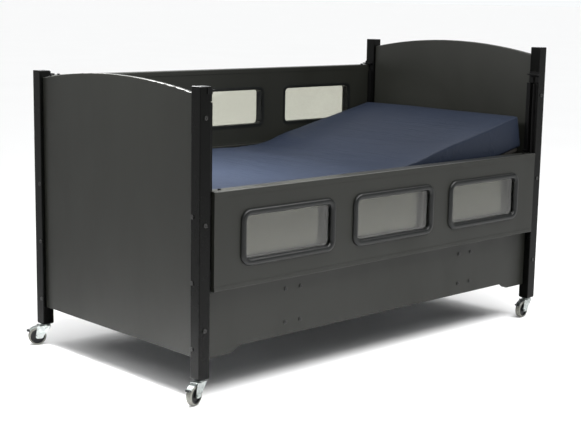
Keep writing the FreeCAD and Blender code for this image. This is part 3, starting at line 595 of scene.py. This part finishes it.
RACE = [(0.0160, 0.0), (0.0186, 0.0002), (0.0190, 0.0007), (0.0186, 0.0012), (0.0160, 0.0014)]
RACE_HEIGHT = 0.0822
COLLAR = [(0.0165, 0.0), (0.0196, 0.0005), (0.0202, 0.0018), (0.0196, 0.0031), (0.0165, 0.0036)]
COLLAR_HEIGHT = 0.0846
AXLE_END = [(0.0002, 0.0216), (0.0040, 0.0216), (0.0042, 0.0228), (0.0032, 0.0238),
            (0.0002, 0.0242)]
CORE_RIM = [(0.0262, 0.0100), (0.0262, 0.0112), (0.0275, 0.0119), (0.0292, 0.0118),
            (0.0303, 0.0104)]
NUT_RADIUS = 0.0085
NUT_TURN = 15
NUT_SPAN = (0.0172, 0.0220)
TIP_START = 0.0385
TIP_NOSE = 0.0455
TIP_ROUND = 0.0050
TIP_HALF = 0.0122
TIP_SPAN = (-0.0198, -0.0136)
TIP_BEVEL = 0.0014


def ellipse_point(wide, high, degrees):
    angle = math.radians(degrees)
    return wide * math.cos(angle), high * math.sin(angle)


def pedal_outline():
    """Pedal tip from above: straight sides and a rounded nose."""
    nose = [ellipse_point(TIP_ROUND, TIP_HALF, turn) for turn in range(-90, 91, 15)]
    return [(TIP_START, -TIP_HALF), *((TIP_NOSE + u, v) for u, v in nose), (TIP_START, TIP_HALF)]


HEXAGON = [ellipse_point(NUT_RADIUS, NUT_RADIUS, 60 * k + NUT_TURN) for k in range(6)]

for corner in CORNERS:
    swivel = Vector(JOINTS["swivel_" + corner]["pos_m"])
    axle = Vector(JOINTS["wheel_spin_" + corner]["pos_m"])
    pivot = Vector(JOINTS["brake_pedal_" + corner]["pos_m"])
    across = Vector(JOINTS["wheel_spin_" + corner]["axis"]).normalized()
    along = Vector((axle.x - swivel.x, axle.y - swivel.y, 0)).normalized()
    race = lathe("caster_race_" + corner, RACE, (swivel.x, swivel.y, RACE_HEIGHT), UP, ZINC)
    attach(race, "caster_" + corner)
    collar = lathe("stem_collar_" + corner, COLLAR, (swivel.x, swivel.y, COLLAR_HEIGHT), UP, ZINC)
    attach(collar, "bed_frame")
    for side, word in ((-1, "near"), (1, "far")):
        outward = across * side
        nut = prism("axle_nut_%s_%s" % (word, corner), HEXAGON, *NUT_SPAN,
                    (axle, along, UP, outward), ZINC, "zinc_steel")
        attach(nut, "caster_" + corner)
        dome = lathe("axle_end_%s_%s" % (word, corner), AXLE_END, axle, outward, ZINC,
                     24)
        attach(dome, "caster_" + corner)
        rim = lathe("core_rim_%s_%s" % (word, corner), CORE_RIM, axle, outward, CORE,
                    64)
        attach(rim, "wheel_" + corner)
    tip = prism("pedal_tip_" + corner, pedal_outline(), *TIP_SPAN, (pivot, along, across, UP), CORE,
                "wheel_core", TIP_BEVEL)
    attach(tip, "brake_" + corner)

# ---- Floor, light and camera ------------------------------------------------------------------

FLOOR_REACH = 400
FLOOR_DROP = 0.0005  # keeps the floor just clear of the tyres


def plain_floor():
    """Wide pale floor that belongs to the studio and not to the bed."""
    build = bmesh.new()
    for side_x, side_y in ((-1, -1), (1, -1), (1, 1), (-1, 1)):
        build.verts.new((side_x * FLOOR_REACH, side_y * FLOOR_REACH, -FLOOR_DROP))
    build.faces.new(build.verts[:])
    mesh = bpy.data.meshes.new("studio_floor")
    build.to_mesh(mesh)
    build.free()
    floor = bpy.data.objects.new("studio_floor", mesh)
    bpy.context.scene.collection.objects.link(floor)
    material, tree, bsdf, place = start_material("studio_white")
    tone = noise_at(tree, place, 0.6, 3.0)
    tree.links.new(blend_colour(tree, tone, grey(0.90), grey(0.93)), bsdf.inputs["Base Color"])
    bsdf.inputs["Roughness"].default_value = 0.75
    bsdf.inputs["Specular IOR Level"].default_value = 0.2
    mesh.materials.append(material)


def soft_light(name, spot, target, size, power):
    """Rectangular lamp at spot, turned to shine at target."""
    data = bpy.data.lights.new(name, "AREA")
    data.shape = "RECTANGLE"
    data.size, data.size_y = size
    data.energy = power
    lamp = bpy.data.objects.new(name, data)
    lamp.location = spot
    lamp.rotation_euler = (Vector(target) - Vector(spot)).to_track_quat("-Z", "Y").to_euler()
    bpy.context.scene.collection.objects.link(lamp)
    return lamp


plain_floor()
world = bpy.data.worlds.new("studio")
bpy.context.scene.world = world
world.use_nodes = True
sky = world.node_tree
background = sky.nodes["Background"]
direction = add(sky, "ShaderNodeTexCoord").outputs["Generated"]
height = add(sky, "ShaderNodeSeparateXYZ", {"Vector": direction}).outputs["Z"]
background.inputs["Color"].default_value = (0.97, 0.99, 1.0, 1.0)
# White near the horizon and dimmer overhead.
sky.links.new(ramp(sky, height, 0.03, 0.22, 0.98, 0.19), background.inputs["Strength"])
soft_light("front", spot=(0.2, -2.0, 3.2), target=(0.2, -1.5, 0.0), size=(4.0, 1.8), power=158)
foot_light = soft_light("over_foot", spot=(-1.0, -0.1, 2.5), target=(-0.85, -0.1, 0.8),
                        size=(0.7, 0.7), power=27)
foot_light.data.spread = math.radians(60)
soft_light("inside", spot=(-1.0, 0.40, 1.95), target=(1.0, -0.2, 0.95), size=(0.9, 0.4),
           power=42)
sun_data = bpy.data.lights.new("sky_panel", "SUN")
sun_data.energy = 2.75
sun_data.angle = math.radians(110)
sun = bpy.data.objects.new("sky_panel", sun_data)
bpy.context.scene.collection.objects.link(sun)

# The camera stands where the photograph was taken from.
camera_data = bpy.data.cameras.new("camera")
camera_data.sensor_width = 36.0
camera_data.lens = 77.15
camera_data.clip_end = 1000
camera = bpy.data.objects.new("camera", camera_data)
camera.location = (-3.7602, -3.9052, 1.4676)
camera.rotation_euler = tuple(math.radians(a) for a in (80.125, -1.022, -43.434))
bpy.context.scene.collection.objects.link(camera)
bpy.context.scene.camera = camera
bpy.context.scene.view_settings.view_transform = "Standard"
